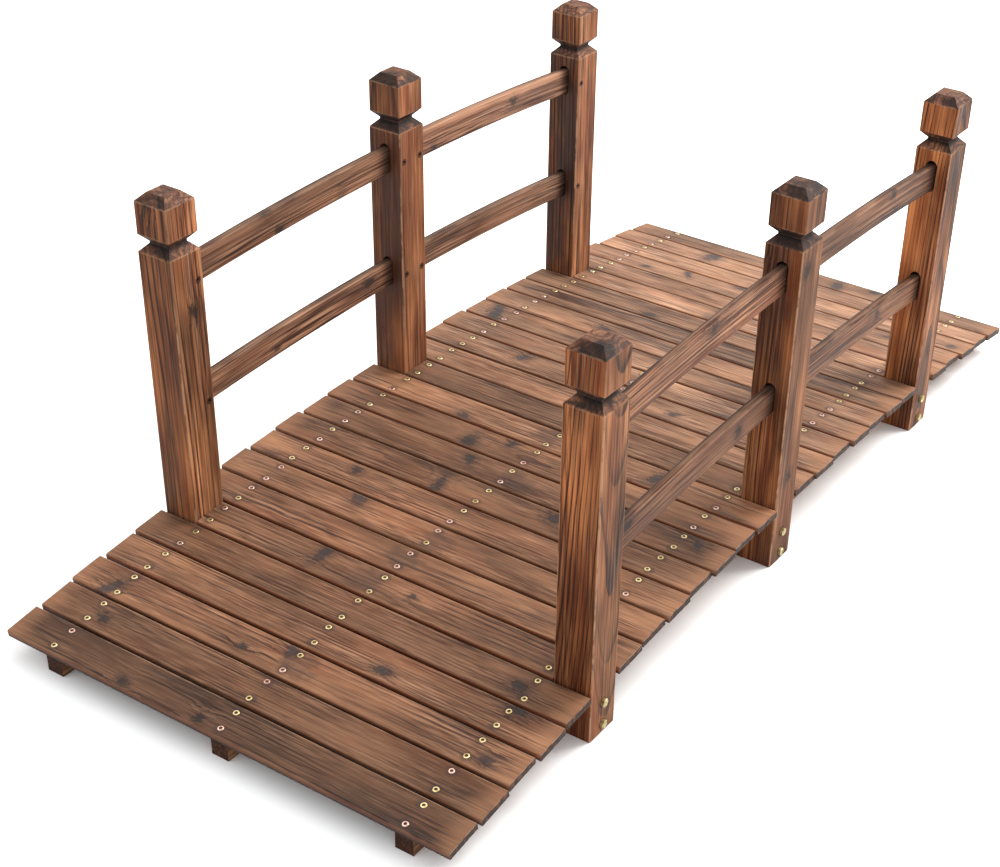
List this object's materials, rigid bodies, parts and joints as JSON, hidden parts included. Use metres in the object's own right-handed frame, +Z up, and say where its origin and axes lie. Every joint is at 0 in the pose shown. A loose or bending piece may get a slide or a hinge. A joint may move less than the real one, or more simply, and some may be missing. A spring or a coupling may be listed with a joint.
{
  "type": "wooden garden footbridge",
  "caption": "Small arched wooden garden footbridge with a boarded deck on arched stringers and post-and-rail sides with capped posts.",
  "frame": {"origin": "on the ground, at the middle of the bridge's length and width", "axes": "+X along the bridge towards its far end, +Y to the left-hand side of someone who walks that way, +Z up"},
  "size_m": [1.4932, 0.677, 0.5383],
  "materials": {
    "deck_timber": "charred and stained fir, satin, with dark knots and paler worn edges",
    "post_timber": "charred and stained fir, satin, upright grain with strong figure",
    "rail_timber": "charred and stained fir, satin, grain along the rail",
    "stringer_timber": "charred and stained fir, dark, grain along the plank",
    "plated_fixings": "yellow zinc plating, slightly dulled"
  },
  "bodies": {
    "root": {"stringer_left": "stringer_timber", "stringer_middle": "stringer_timber", "stringer_right": "stringer_timber", "deck_board_01": "deck_timber", "deck_board_02": "deck_timber", "deck_board_03": "deck_timber", "deck_board_04": "deck_timber", "deck_board_05": "deck_timber", "deck_board_06": "deck_timber", "deck_board_07": "deck_timber", "deck_board_08": "deck_timber", "deck_board_09": "deck_timber", "deck_board_10": "deck_timber", "deck_board_11": "deck_timber", "deck_board_12": "deck_timber", "deck_board_13": "deck_timber", "deck_board_14": "deck_timber", "deck_board_15": "deck_timber", "deck_board_16": "deck_timber", "deck_board_17": "deck_timber", "deck_board_18": "deck_timber", "deck_board_19": "deck_timber", "deck_board_20": "deck_timber", "deck_board_21": "deck_timber", "deck_board_22": "deck_timber", "deck_board_23": "deck_timber", "deck_board_24": "deck_timber", "deck_board_25": "deck_timber", "deck_board_26": "deck_timber", "deck_board_27": "deck_timber", "post_near_left": "post_timber", "post_mid_left": "post_timber", "post_far_left": "post_timber", "rail_lower_near_left": "rail_timber", "rail_upper_near_left": "rail_timber", "rail_lower_far_left": "rail_timber", "rail_upper_far_left": "rail_timber", "post_near_right": "post_timber", "post_mid_right": "post_timber", "post_far_right": "post_timber", "rail_lower_near_right": "rail_timber", "rail_upper_near_right": "rail_timber", "rail_lower_far_right": "rail_timber", "rail_upper_far_right": "rail_timber"}
  },
  "joints": []
}
